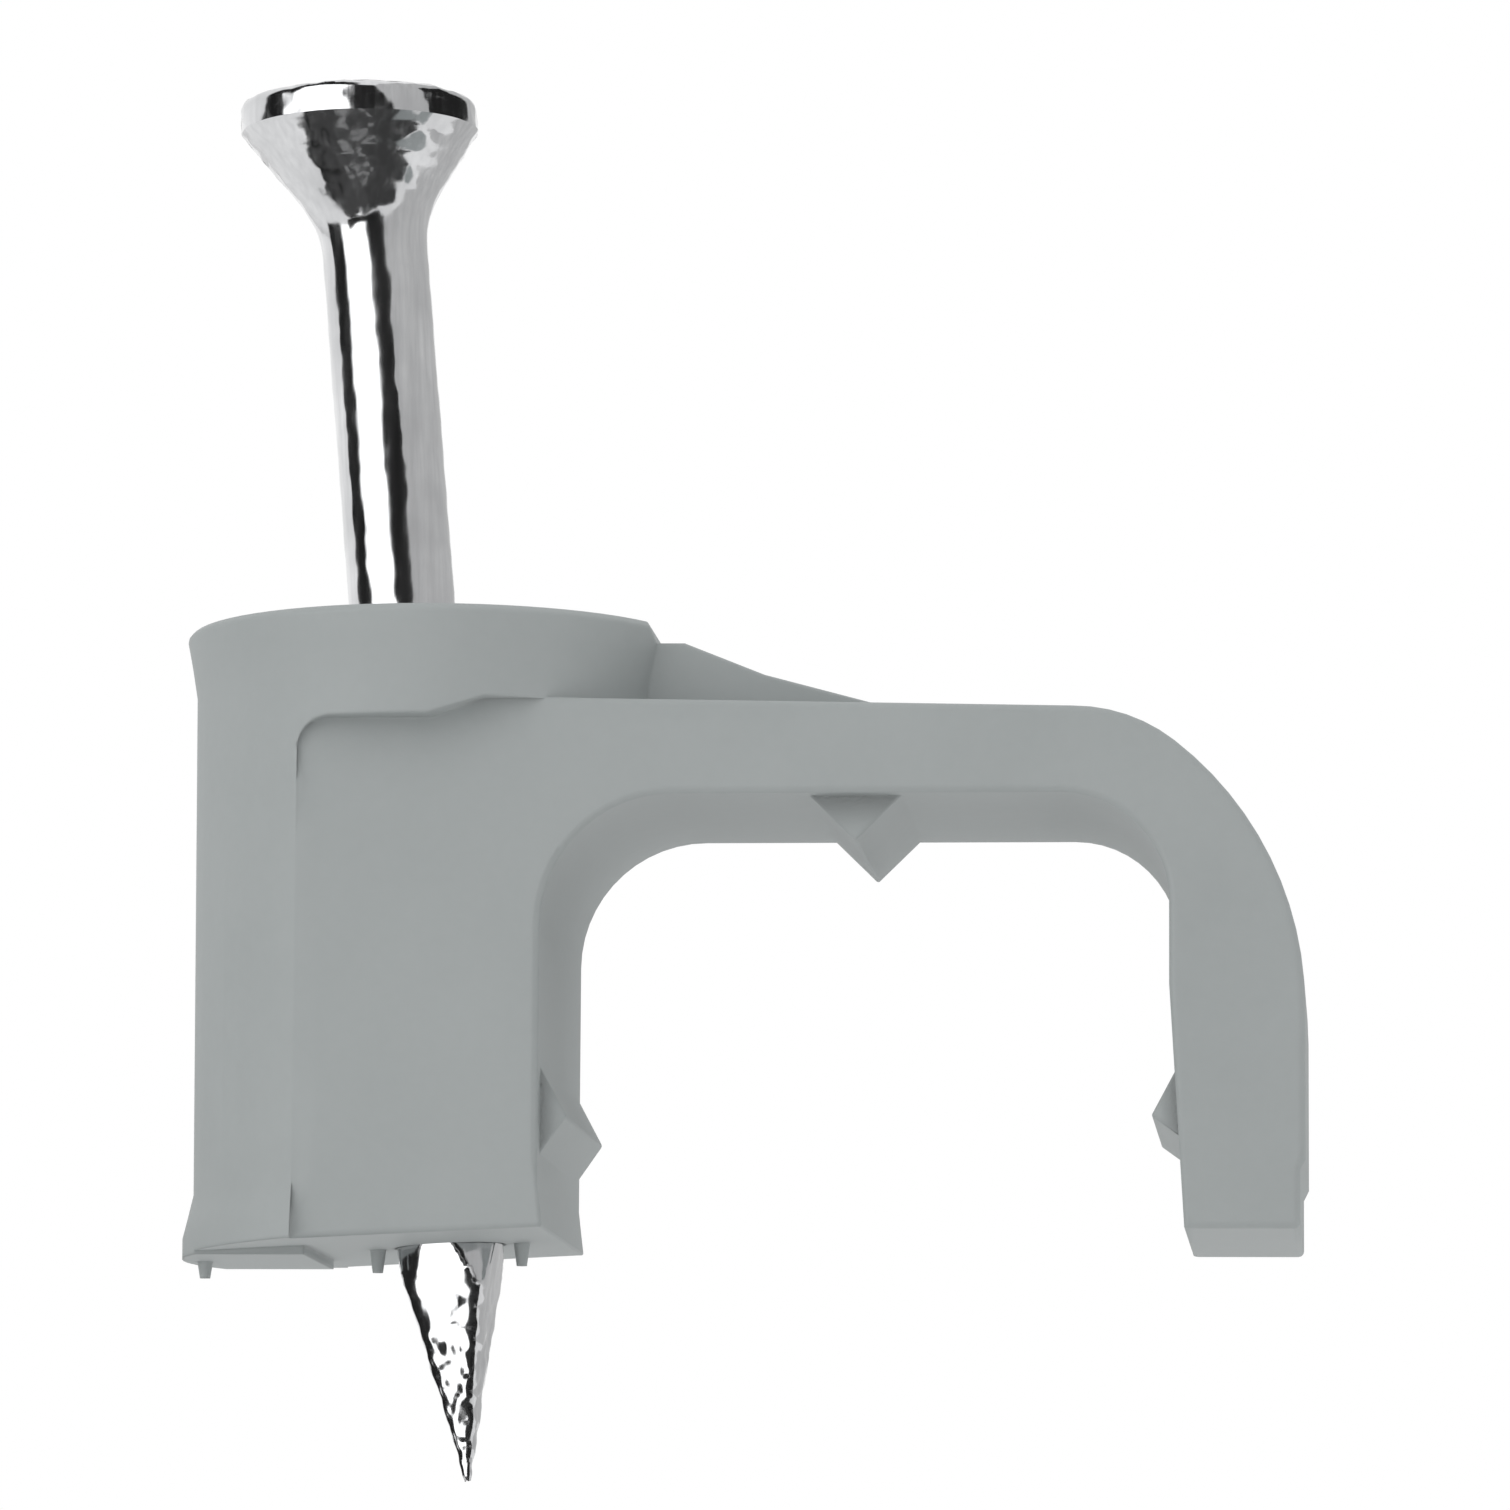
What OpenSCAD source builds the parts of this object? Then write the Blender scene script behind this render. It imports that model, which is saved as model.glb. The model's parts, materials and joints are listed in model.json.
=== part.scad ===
// Nail-in clip that holds a flat cable against a wall, with its nail started in the boss.
// Origin where the nail's axis meets the wall plane, +Z out of the wall, +X from the boss to the free leg.
// All lengths in millimetres, all angles in degrees.

/* [Cable channel] */
// Clear width of the channel at its ceiling
cable_w = 11.9; // [9.5:0.1:16]
// Height of the channel's ceiling above the wall
cable_h = 8.24; // [6.5:0.02:12]
// Radius of the channel's corner at the boss
near_corner_r = 2.5; // [0.8:0.1:3]
// Radius of the channel's corner at the leg
far_corner_r = 2.05; // [0.8:0.05:3]

/* [Arch and leg] */
// Depth of the arch along the cable
arch_depth = 8.1; // [6:0.1:8.6]
// Thickness of the arch over the cable
arch_t = 1.65; // [1.2:0.05:2.5]
// How much thicker the arch is at the nail's axis
arch_rise = 0.24; // [0:0.02:0.4]
// Thickness of the leg at its top
leg_t = 2.55; // [2:0.05:3.5]
// How much the leg's inner face opens out towards the foot
leg_draft = 0.28; // [0:0.02:0.5]
// Height above the wall at which that draft starts
leg_draft_h = 4.6; // [3.5:0.1:5.5]
// Radius of the outer bend where it leaves the arch
crown_r = 3.1; // [2:0.1:3.6]
// Radius of the outer bend where it runs down into the leg
flank_r = 6.4; // [4.5:0.1:6.8]
// Direction in which the two bend radii meet, above the wall
bend_split = 52; // [40:1:60]
// How far the foot steps in from the leg's outer face
foot_step = 0.1; // [0.05:0.01:0.3]
// Height of that step above the wall
foot_step_h = 1.1; // [0.6:0.05:2]
// Height of the slope that makes the step
foot_slope_h = 0.2; // [0.1:0.05:0.5]

/* [Boss] */
// Radius of the boss
boss_r = 4.74; // [4.5:0.01:5.4]
// How much the boss narrows down to its heel
boss_draft = 0.07; // [0:0.01:0.08]
// Distance from the boss's axis to the nail's axis at the wall
boss_offset = 0.3; // [0:0.02:0.4]
// Distance from the nail's axis at the wall to the channel
boss_wall = 2.1; // [1.8:0.05:3]
// Height of the round collar above the arch's top
collar_h = 1.9; // [1.7:0.02:2.6]
// How much the collar flares out at its rim
rim_flare = 0.2; // [0.05:0.01:0.3]
// Height over which the collar flares
rim_flare_h = 1.25; // [0.6:0.05:1.25]
// Rounding of the rim's edge
rim_round = 0.12; // [0.05:0.01:0.3]
// Distance from the end of the collar to its axis, on the cable's side
collar_end = 4.25; // [4:0.05:4.4]
// Lean of the collar's end face
collar_end_lean = 22; // [0:1:30]
// Distance from the boss's axis to the edge of its flat sides
flat_edge = 2.25; // [1.2:0.05:2.6]
// Corner radius of the flat sides
flat_corner_r = 0.6; // [0.3:0.05:1]
// How far the flat sides stop below the arch's top
flat_drop = 0.18; // [0.05:0.01:0.5]
// Height of the boss's underside at the channel
base_rise = 0.02; // [0:0.01:0.2]
// Slope of the boss's underside, down towards the heel
base_slope = 2.8; // [0:0.1:4]
// How much the boss flares out at its heel
heel_flare = 0.2; // [0.05:0.01:0.2]
// How much the boss flares into the channel at its foot
wall_flare = 0.1; // [0.02:0.01:0.2]
// Height of those flares
heel_h = 0.85; // [0.6:0.05:1.2]
// Width of the pad under the heel
heel_w = 4.3; // [3:0.1:6]
// How far that pad stands below the wall plane
heel_drop = 0.38; // [0.25:0.01:0.5]
// Radius of the spurs that grip the wall
spur_r = 0.2; // [0.14:0.02:0.24]
// How far the heel's spur stands out
heel_spur_h = 0.32; // [0.1:0.02:0.5]
// How far the spurs beside the nail stand out
nail_spur_h = 0.44; // [0.1:0.02:0.6]
// Distance from the nail's axis to those spurs
nail_spur_x = 1.4; // [1.36:0.02:1.6]

/* [Gusset] */
// Depth of the gusset between collar and arch
gusset_depth = 4.2; // [3.6:0.1:6.8]
// Height of the gusset above the arch's top
gusset_h = 1.5; // [0.6:0.05:1.6]
// Length of the gusset's level top beyond the collar's end
gusset_level = 0.7; // [0.2:0.05:1.2]
// Length of the gusset's steep run
gusset_steep_l = 1.55; // [0.5:0.05:2]
// Drop of the gusset's steep run
gusset_steep_h = 0.62; // [0.2:0.02:0.7]
// Length of the gusset's gentle run
gusset_gentle_l = 3.3; // [1.5:0.1:4]

/* [Cable ribs] */
// How far the rib and the nibs stop short of the arch's faces
rib_inset = 0.5; // [0.1:0.05:1]
// Width of the crush rib under the arch
rib_w = 1.76; // [1:0.02:2.4]
// Height of the crush rib
rib_h = 0.86; // [0.4:0.02:1.2]
// Height of the nibs' tips above the wall
nib_z = 2.15; // [1.6:0.05:2.6]
// How far the nibs stand into the channel
nib_out = 0.5; // [0.2:0.02:0.8]
// Length of the nibs' upper slopes
nib_rise = 0.94; // [0.5:0.02:1.2]
// Length of the lower slope of the nib on the boss
nib_fall = 0.72; // [0.4:0.02:1]
// Length of the lower slope of the nib on the leg
leg_nib_fall = 0.36; // [0.2:0.02:1]

/* [Nail] */
// Diameter of the shank
shank_d = 2.1; // [1.8:0.05:2.4]
// Length of the nail
nail_l = 27.2; // [24:0.1:32]
// How far the point stands through the wall plane
point_out = 4.65; // [2:0.05:6]
// Lean of the nail, head away from the cable
nail_lean = 5; // [0:0.1:6]
// Diameter of the head
head_d = 4.75; // [4:0.05:5.2]
// Height of the head's rim
head_rim = 0.68; // [0.5:0.02:1]
// Rounding of the head's rim
head_round = 0.46; // [0.1:0.02:0.5]
// Angle of the head's countersunk side from the nail's axis
head_angle = 33; // [30:1:45]
// Radius of the fillet under the head
neck_r = 2; // [0.5:0.1:3]
// Length of the diamond point
point_l = 4.95; // [3:0.05:5.5]
// Turn of the diamond point about the nail's axis
point_turn = -9; // [-45:1:45]
// Clearance between the shank and its bore, on the radius
bore_clear = 0.03; // [0.01:0.01:0.08]

/* [Hidden] */

clip_grey = [0.62, 0.65, 0.65];
zinc_plate = [0.8, 0.81, 0.83];
smooth = 96;
// Reach of cutting shapes beyond what they cut
over = 6;
// Overlap that joins two shapes of one moulding
bond = 0.3;

arch_top = cable_h + arch_t;
boss_h = arch_top + collar_h;
leg_x = boss_wall + cable_w;
outer_x = leg_x + leg_t;
rib_x = boss_wall + cable_w / 2;
rim_r = boss_r + rim_flare;
foot_r = boss_r - boss_draft;
heel_r = foot_r + heel_flare;
heel_x = -boss_offset - flat_edge;
heel_z = -heel_drop;
flat_top = arch_top - flat_drop;
collar_end_x = collar_end - boss_offset;
gusset_x = collar_end_x + gusset_level;
shank_r = shank_d / 2;
head_r = head_d / 2;
bore_r = shank_r + bore_clear;

// Centres of the two arcs of the outer bend: the smaller arc touches the larger one from inside
flank_c = [outer_x - flank_r, arch_top - crown_r - (flank_r - crown_r) * sin(bend_split)];
crown_c = flank_c + (flank_r - crown_r) * [cos(bend_split), sin(bend_split)];

// Height of the arch's top and of the boss's underside at x
function arch_z(x) = arch_top + arch_rise * (1 - x / crown_c[0]);
function base_z(x) = base_rise + (x - boss_wall) * tan(base_slope);

// Stands a profile drawn in X and Z upright, with its depth centred on the XZ plane
module across(depth) {
    translate([0, depth / 2, 0]) rotate([90, 0, 0]) linear_extrude(height = depth) children();
}

// Puts a shape that is drawn along Z onto the leaning axis of the nail
module on_nail_axis() {
    rotate([0, -nail_lean, 0]) children();
}

// Outer edge of the arch and leg, filled down to the wall
module arch_outline() {
    polygon([[0, 0], [crown_c[0], 0], [crown_c[0], arch_top], [0, arch_z(0)]]);
    square([outer_x, flank_c[1]]);
    translate(crown_c) circle(r = crown_r, $fn = smooth);
    intersection() {
        translate(flank_c) circle(r = flank_r, $fn = smooth);
        translate(flank_c) polygon((over + flank_r) * [[0, 0], [1, 0],
            [1, tan(bend_split) / 2], [cos(bend_split), sin(bend_split)]]);
    }
}

// Space for the cable, open to the wall
module channel_outline() {
    near_x = boss_wall + near_corner_r;
    far_x = leg_x - far_corner_r;
    corner_z = cable_h - max(near_corner_r, far_corner_r);
    polygon([[boss_wall + wall_flare, -over], [boss_wall + wall_flare, base_rise], [boss_wall, heel_h],
        [boss_wall, corner_z], [leg_x, corner_z], [leg_x, -over]]);
    translate([near_x, 0]) square([far_x - near_x, cable_h]);
    translate([boss_wall, heel_h]) square([near_corner_r, cable_h - near_corner_r - heel_h]);
    translate([far_x, 0]) square([far_corner_r, cable_h - far_corner_r]);
    translate([near_x, cable_h - near_corner_r]) circle(r = near_corner_r, $fn = smooth);
    translate([far_x, cable_h - far_corner_r]) circle(r = far_corner_r, $fn = smooth);
    polygon([[leg_x - bond, leg_draft_h], [leg_x, leg_draft_h], [leg_x + leg_draft, 0],
        [leg_x + leg_draft, -over], [leg_x - bond, -over]]);
}

// Round boss with its flared collar and heel
module boss_round() {
    translate([-boss_offset, 0, 0]) rotate_extrude($fn = smooth) polygon([
        [0, heel_z], [heel_r, heel_z], [heel_r, base_rise], [foot_r, heel_h],
        [boss_r, boss_h - rim_flare_h], [rim_r, boss_h - rim_round], [rim_r - rim_round, boss_h],
        [0, boss_h]]);
}

// Outline of the flat sides that are cut into the boss
module flat_outline() {
    low = heel_z - over;
    corner_x = heel_x + flat_corner_r;
    translate([heel_x, low]) square([flat_corner_r + bond, flat_top - flat_corner_r - low]);
    translate([corner_x, flat_top - flat_corner_r]) circle(r = flat_corner_r, $fn = smooth);
    ledge_z = arch_z(collar_end_x);
    polygon([[corner_x, low], [rim_r + over, low], [rim_r + over, ledge_z],
        [shank_r, ledge_z], [0, flat_top], [corner_x, flat_top]]);
}

// One flat side, cut from the boss down to the face of the arch
module flat_side() {
    translate([0, -arch_depth / 2, 0]) rotate([90, 0, 0])
        linear_extrude(height = rim_r + over) flat_outline();
}

// Everything beyond the collar's end face
module collar_end_cut() {
    translate([collar_end_x, -rim_r - over, boss_h]) rotate([0, -collar_end_lean, 0])
        translate([0, 0, -boss_h + arch_top - over])
            cube([rim_r + over, 2 * (rim_r + over), boss_h + over]);
}

// Boss with its flat sides, before the channel and the bore are cut
module boss() {
    difference() {
        boss_round();
        flat_side();
        mirror([0, 1, 0]) flat_side();
        intersection() {
            collar_end_cut();
            translate([0, -rim_r - over, arch_top])
                cube([rim_r + over, 2 * (rim_r + over), collar_h + over]);
        }
    }
}

// Gusset that carries the collar out onto the arch
module gusset() {
    top = arch_top + gusset_h;
    steep_x = gusset_x + gusset_steep_l;
    across(gusset_depth) polygon([[0, arch_top - bond], [0, top], [gusset_x, top],
        [steep_x, top - gusset_steep_h], [steep_x + gusset_gentle_l, arch_top],
        [steep_x + gusset_gentle_l, arch_top - bond]]);
}

// Crush rib and nibs that bite into the cable's sheath
module cable_ribs() {
    across(arch_depth - 2 * rib_inset) {
        polygon([[rib_x - rib_w / 2, cable_h], [rib_x - rib_w / 2, cable_h + bond],
            [rib_x + rib_w / 2, cable_h + bond], [rib_x + rib_w / 2, cable_h], [rib_x, cable_h - rib_h]]);
        nib(boss_wall, 1, nib_fall);
        nib(leg_x + leg_draft * (1 - nib_z / leg_draft_h), -1, leg_nib_fall);
    }
}

// One nib, standing out of a wall of the channel at x
module nib(x, side, fall) {
    reach = 1 + bond / nib_out;
    polygon([[x - side * bond, nib_z + nib_rise * reach], [x + side * nib_out, nib_z],
        [x - side * bond, nib_z - fall * reach]]);
}

// Everything below the boss's sloping underside, except the pad under the heel
module base_cut() {
    far = -rim_r - over;
    near = boss_wall + bond;
    low = heel_z - over;
    difference() {
        across(2 * (rim_r + over)) polygon([[far, low], [far, base_z(far)], [boss_wall, base_rise],
            [near, base_rise], [near, low]]);
        across(heel_w) translate([far - over, low - over])
            square([heel_x - far + over, 2 * over + rim_r]);
    }
}

// One spur that grips the wall, standing h out of the underside at x and z
module spur(x, z, h) {
    translate([x, 0, z - h]) cylinder(r1 = spur_r / 2, r2 = spur_r, h = h + bond, $fn = smooth);
}

// What the foot steps in from the leg's outer face
module foot_cut() {
    top = foot_step_h + foot_slope_h;
    across(2 * arch_depth) polygon([[outer_x - foot_step, -over], [outer_x - foot_step, foot_step_h],
        [outer_x, top], [outer_x + over, top], [outer_x + over, -over]]);
}

// Bore that holds and guides the nail
module nail_bore() {
    on_nail_axis() translate([0, 0, -over]) cylinder(r = bore_r, h = boss_h + 2 * over, $fn = smooth);
}

module clip_body() {
    color(clip_grey) difference() {
        union() {
            difference() {
                union() {
                    boss();
                    across(arch_depth) arch_outline();
                    gusset();
                }
                across(2 * (rim_r + over)) channel_outline();
                base_cut();
                foot_cut();
            }
            cable_ribs();
            spur(2 * spur_r - boss_offset - heel_r, heel_z, heel_spur_h);
            spur(-nail_spur_x, base_z(-nail_spur_x), nail_spur_h);
            spur(nail_spur_x, base_z(nail_spur_x), nail_spur_h);
        }
        nail_bore();
    }
}

// Half section of the nail, from a square lower end to the head
module nail_section() {
    cone_h = (head_r - shank_r) / tan(head_angle);
    top = nail_l - point_out;
    cone_z = top - head_rim - cone_h;
    reach = neck_r * tan(head_angle / 2);
    neck_c = [shank_r + neck_r, cone_z - reach];
    polygon([[0, -point_out], [shank_r, -point_out], [shank_r, cone_z], [head_r, top - head_rim],
        [head_r, top - head_round], [head_r - head_round, top], [0, top]]);
    translate([head_r - head_round, top - head_round]) circle(r = head_round, $fn = smooth);
    difference() {
        polygon([[shank_r - bond, neck_c[1]], [shank_r, neck_c[1]], neck_c,
            [shank_r, cone_z] + reach * [sin(head_angle), cos(head_angle)], [shank_r - bond, cone_z]]);
        translate(neck_c) circle(r = neck_r, $fn = smooth);
    }
}

// One of the four facets that are pinched off to make the diamond point
module point_facet() {
    facet_angle = atan(shank_r / point_l);
    translate([0, 0, -point_out]) rotate([0, facet_angle, 0])
        translate([0, -over, -over]) cube([over, 2 * over, 2 * over + point_l]);
}

module nail() {
    color(zinc_plate) on_nail_axis() difference() {
        rotate_extrude($fn = smooth) nail_section();
        for (turn = [0:90:270]) rotate([0, 0, turn + point_turn]) point_facet();
    }
}

clip_body();
nail();
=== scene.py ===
# %% [markdown]
# # A nail-in cable clip
#
# A grey plastic clip arches over a flat cable, and a bright zinc nail waits in its boss to be driven into
# the wall. The construction comes from CAD. This lesson gives it the looks: moulded edges, satin
# polyethylene, drawn and plated wire, and the white studio that such a part is photographed in.

# %% Load the frame
import json
import math

import bmesh
import bpy
from mathutils import Euler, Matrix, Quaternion, Vector


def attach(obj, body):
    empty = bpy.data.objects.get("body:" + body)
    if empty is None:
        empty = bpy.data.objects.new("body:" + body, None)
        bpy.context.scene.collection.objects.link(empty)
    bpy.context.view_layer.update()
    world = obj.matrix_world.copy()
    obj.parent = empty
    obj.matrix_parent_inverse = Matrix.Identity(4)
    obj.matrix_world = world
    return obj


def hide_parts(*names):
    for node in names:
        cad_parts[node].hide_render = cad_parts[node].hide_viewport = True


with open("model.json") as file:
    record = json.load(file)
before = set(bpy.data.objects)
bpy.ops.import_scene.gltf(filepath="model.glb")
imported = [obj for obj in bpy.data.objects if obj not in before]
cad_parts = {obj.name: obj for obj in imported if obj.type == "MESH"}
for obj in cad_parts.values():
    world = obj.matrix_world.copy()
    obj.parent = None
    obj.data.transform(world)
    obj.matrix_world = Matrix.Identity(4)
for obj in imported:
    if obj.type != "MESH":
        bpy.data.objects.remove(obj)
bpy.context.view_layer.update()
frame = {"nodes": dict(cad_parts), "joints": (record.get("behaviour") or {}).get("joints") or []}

MM = 0.001

# %% [markdown]
# ## The camera
#
# The camera stands a little below the clip and to its right, and looks up and back at it, so that the
# channel's ceiling and the boss's inner wall both show. A long lens keeps the perspective weak, as in a
# catalogue picture. The place and the three angles are given rather than set by a Track To constraint,
# because a constraint would hide the small roll.

# %% Camera at the picture's viewing angle
CAMERA_PLACE = Vector((17.74, -150.76, -10.46)) * MM
CAMERA_PAN = math.radians(4.507)
CAMERA_TILT = math.radians(7.515)
CAMERA_ROLL = math.radians(0.368)
LENS_MM = 187.0
SENSOR_MM = 36
NEAREST_SEEN = 10 * MM
FARTHEST_SEEN = 20


def make_camera():
    data = bpy.data.cameras.new("camera")
    data.lens = LENS_MM
    data.sensor_width = SENSOR_MM
    data.clip_start = NEAREST_SEEN
    data.clip_end = FARTHEST_SEEN
    camera = bpy.data.objects.new("camera", data)
    camera.rotation_mode = "QUATERNION"
    level = Euler((math.pi / 2 + CAMERA_TILT, 0, CAMERA_PAN)).to_quaternion()
    camera.rotation_quaternion = level @ Quaternion((0, 0, 1), CAMERA_ROLL)
    camera.location = CAMERA_PLACE
    bpy.context.scene.collection.objects.link(camera)
    bpy.context.scene.camera = camera
    return camera


camera = make_camera()
print("camera at", [round(c / MM, 1) for c in camera.location], "mm")

# %% [markdown]
# ## Helpers for node trees
#
# Finishes, the nail and the studio's light are all node trees, and a tree could be drawn by hand in
# Blender's node editor. Built in a script, it needs three small helpers to stay short enough to read: one
# links a socket or sets its value, one adds a node with its values, and one adds a Math node, so that a
# rule reads almost like algebra.

# %% Node helpers


def feed(tree, source, socket):
    """Links a socket to this one, or sets this one to a value."""
    if isinstance(source, bpy.types.NodeSocket):
        tree.links.new(source, socket)
    else:
        socket.default_value = source


def add_node(tree, kind, **values):
    """Adds a node; values name its properties, or its inputs where it has no such property."""
    node = tree.nodes.new(kind)
    for name, value in values.items():
        if hasattr(node, name):
            setattr(node, name, value)
        else:
            feed(tree, value, node.inputs[name.replace("_", " ").title()])
    return node


def maths(tree, operation, *terms):
    """A Math node on numbers or sockets, which returns its output."""
    node = add_node(tree, "ShaderNodeMath", operation=operation)
    for socket, term in zip(node.inputs, terms):
        feed(tree, term, socket)
    return node.outputs[0]


print("node helpers ready")

# %% [markdown]
# ### Helpers for materials
#
# Both finishes are made from the same few things: a noise, a range to spread it over, a colour between
# two tones and a bump. The noise could be laid out on a UV map, but Object coordinates need no
# unwrapping, and they stay with the piece when it moves, so that the pattern does not slide.

# %% Material helpers
NOISE_LOW = 0.25
NOISE_HIGH = 0.75


def new_material(name):
    """A material, its node tree and its Principled shader."""
    material = bpy.data.materials.new(name)
    material.use_nodes = True
    tree = material.node_tree
    return material, tree, tree.nodes["Principled BSDF"]


def noise_on(tree, coordinates, size, detail=2.0):
    """Noise whose features are about size metres across."""
    node = add_node(tree, "ShaderNodeTexNoise", vector=coordinates, scale=1 / size, detail=detail)
    return node.outputs["Fac"]


def spread(tree, noise, low, high):
    """Maps a noise onto the range from low to high."""
    node = add_node(tree, "ShaderNodeMapRange", value=noise, from_min=NOISE_LOW, from_max=NOISE_HIGH,
                    to_min=low, to_max=high)
    return node.outputs["Result"]


def between_tones(tree, dark, light, share):
    """A colour that lies between two tones by a share."""
    node = add_node(tree, "ShaderNodeMix", data_type="RGBA", a=dark, b=light, factor=share)
    return node.outputs["Result"]


def bump_from(tree, noise, strength, depth):
    """A Bump node that reads a noise as heights."""
    node = add_node(tree, "ShaderNodeBump", strength=strength, distance=depth)
    feed(tree, noise, node.inputs["Height"])
    return node


print("material helpers ready")

# %% [markdown]
# ## Satin grey polyethylene
#
# The clip is moulded in grey polyethylene, a soft plastic with a satin skin. Its colour is nearly even,
# with a faint cloud where the melt flowed and a fine mottle in it, and its skin carries the grain of the
# spark-eroded mould. A picture of such plastic could be wrapped round the clip, but noise has no seams:
# two noises mix two close greys, and a third one is a bump far smaller than any edge. The Bevel node
# turns the normals over the sharpest corners, which adds the soft roll that the mesh's own small bevels
# begin.

# %% Moulded plastic
PLASTIC_DARK = (0.330, 0.354, 0.354, 1)
PLASTIC_LIGHT = (0.358, 0.382, 0.382, 1)
PLASTIC_ROUGHNESS = (0.55, 0.65)
PLASTIC_SHINE = 0.4
FLOW_SIZE = 2.6 * MM
MOTTLE_SIZE = 0.24 * MM
MOTTLE_SHARE = 0.3
CLOUD_DETAIL = 3.0
GRAIN_SIZE = 0.07 * MM
GRAIN_DEPTH = 0.004 * MM
GRAIN_STRENGTH = 0.5
EDGE_SOFTNESS = 0.1 * MM
EDGE_SAMPLES = 6


def moulded_plastic():
    material, tree, shader = new_material("clip_plastic")
    coordinates = add_node(tree, "ShaderNodeTexCoord").outputs["Object"]
    flow = noise_on(tree, coordinates, FLOW_SIZE, CLOUD_DETAIL)
    mottle = noise_on(tree, coordinates, MOTTLE_SIZE, CLOUD_DETAIL)
    cloud = maths(tree, "ADD", spread(tree, flow, 0, 1 - MOTTLE_SHARE),
                  spread(tree, mottle, 0, MOTTLE_SHARE))
    feed(tree, between_tones(tree, PLASTIC_DARK, PLASTIC_LIGHT, cloud), shader.inputs["Base Color"])
    feed(tree, spread(tree, flow, *PLASTIC_ROUGHNESS), shader.inputs["Roughness"])
    feed(tree, PLASTIC_SHINE, shader.inputs["Specular IOR Level"])
    rolled = add_node(tree, "ShaderNodeBevel", samples=EDGE_SAMPLES, radius=EDGE_SOFTNESS)
    grain = bump_from(tree, noise_on(tree, coordinates, GRAIN_SIZE), GRAIN_STRENGTH, GRAIN_DEPTH)
    feed(tree, rolled.outputs["Normal"], grain.inputs["Normal"])
    feed(tree, grain.outputs["Normal"], shader.inputs["Normal"])
    return material


plastic = moulded_plastic()
print("made", plastic.name, "with", len(plastic.node_tree.nodes), "nodes")

# %% [markdown]
# ## Bright zinc on drawn wire
#
# The nail is drawn wire with a bright zinc plate. Drawing leaves fine streaks along the wire. The
# shader's anisotropy could hint at them, but real streaks also vary in tone, so a noise is stretched
# along the nail's axis by a Mapping node and drives colour, roughness and bump. A coarser noise gives the
# plate's faint spangle. The plate is nearly colourless, and its look comes from the sharp play of white
# cards and dark gaps on it.

# %% Zinc plate
ZINC_DARK = (0.54, 0.545, 0.555, 1)
ZINC_LIGHT = (0.84, 0.845, 0.855, 1)
ZINC_ROUGHNESS = (0.06, 0.2)
NAIL_AXIS = -Vector(frame["joints"][0]["axis"]).normalized()
NAIL_LEAN = math.atan2(-NAIL_AXIS.x, NAIL_AXIS.z)
STREAK_SIZE = 0.16 * MM
STREAK_STRETCH = 0.06
STREAK_DETAIL = 4.0
STREAK_DEPTH = 0.0022 * MM
STREAK_STRENGTH = 0.6
SPANGLE_SIZE = 1.1 * MM
LEAST_LIGHT = 0.3


def zinc_plate():
    material, tree, shader = new_material("nail_plate")
    coordinates = add_node(tree, "ShaderNodeTexCoord").outputs["Object"]
    upright = add_node(tree, "ShaderNodeMapping", vector=coordinates, rotation=(0, NAIL_LEAN, 0),
                       scale=(1, 1, STREAK_STRETCH))
    streaks = noise_on(tree, upright.outputs["Vector"], STREAK_SIZE, STREAK_DETAIL)
    spangle = noise_on(tree, coordinates, SPANGLE_SIZE)
    light = maths(tree, "MULTIPLY", *[spread(tree, noise, LEAST_LIGHT, 1) for noise in (streaks, spangle)])
    feed(tree, between_tones(tree, ZINC_DARK, ZINC_LIGHT, light), shader.inputs["Base Color"])
    feed(tree, spread(tree, streaks, *ZINC_ROUGHNESS), shader.inputs["Roughness"])
    feed(tree, 1, shader.inputs["Metallic"])
    drawn = bump_from(tree, streaks, STREAK_STRENGTH, STREAK_DEPTH)
    feed(tree, drawn.outputs["Normal"], shader.inputs["Normal"])
    return material


zinc = zinc_plate()
print("made", zinc.name, "for a nail that leans", round(math.degrees(NAIL_LEAN), 2), "degrees")

# %% [markdown]
# ## The moulded body
#
# The body is one moulding: the boss that guides the nail, the arch over the cable, the free leg and the
# ribs. Its CAD mesh has the right form but knife-sharp edges, which no mould can make. A new mesh could
# be modelled with soft edges, but a copy of the CAD mesh keeps the form true. The copy starts as loose
# triangles, so it is merged into one skin, and its flat areas are dissolved into whole faces, which a
# bevel needs.

# %% Body in one skin
MERGE_GAP = 0.001 * MM
FLAT_ANGLE = math.radians(0.6)
LEG_X = 10 * MM


def one_skin(node):
    """A copy of a CAD node's mesh, merged, with whole faces where it is flat."""
    shape = bmesh.new()
    shape.from_mesh(node.data)
    bmesh.ops.remove_doubles(shape, verts=shape.verts, dist=MERGE_GAP)
    bmesh.ops.dissolve_limit(shape, angle_limit=FLAT_ANGLE, verts=shape.verts[:], edges=shape.edges[:])
    return shape


moulding = one_skin(frame["nodes"]["clip_body"])
ARCH_HALF = max(abs(v.co.y) for v in moulding.verts if v.co.x > LEG_X)
print("skin has", len(moulding.faces), "faces, and the arch is", round(2 * ARCH_HALF / MM, 2), "mm deep")

# %% [markdown]
# ### Where the arch grows out of the boss
#
# The soft upper edges of the arch die away where the arch grows out of the boss. A bevel that ended there
# at its full width would fold over itself. A separate blend could be modelled, but it is enough to cut
# each of these edges three times near the boss, so that every short stretch can take a smaller rounding
# than the next.

# %% Cuts at the arch's root
SHOULDER_Z = 9 * MM
ROOT_X = 2.4 * MM
ROOT_CUTS = (0.3 * MM, 0.6 * MM, 1.0 * MM)


def on_outline(edge):
    """True for an edge of the arch's or the web's flat front or back."""
    return all(abs(abs(v.co.y) - ARCH_HALF) < MERGE_GAP for v in edge.verts)


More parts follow.
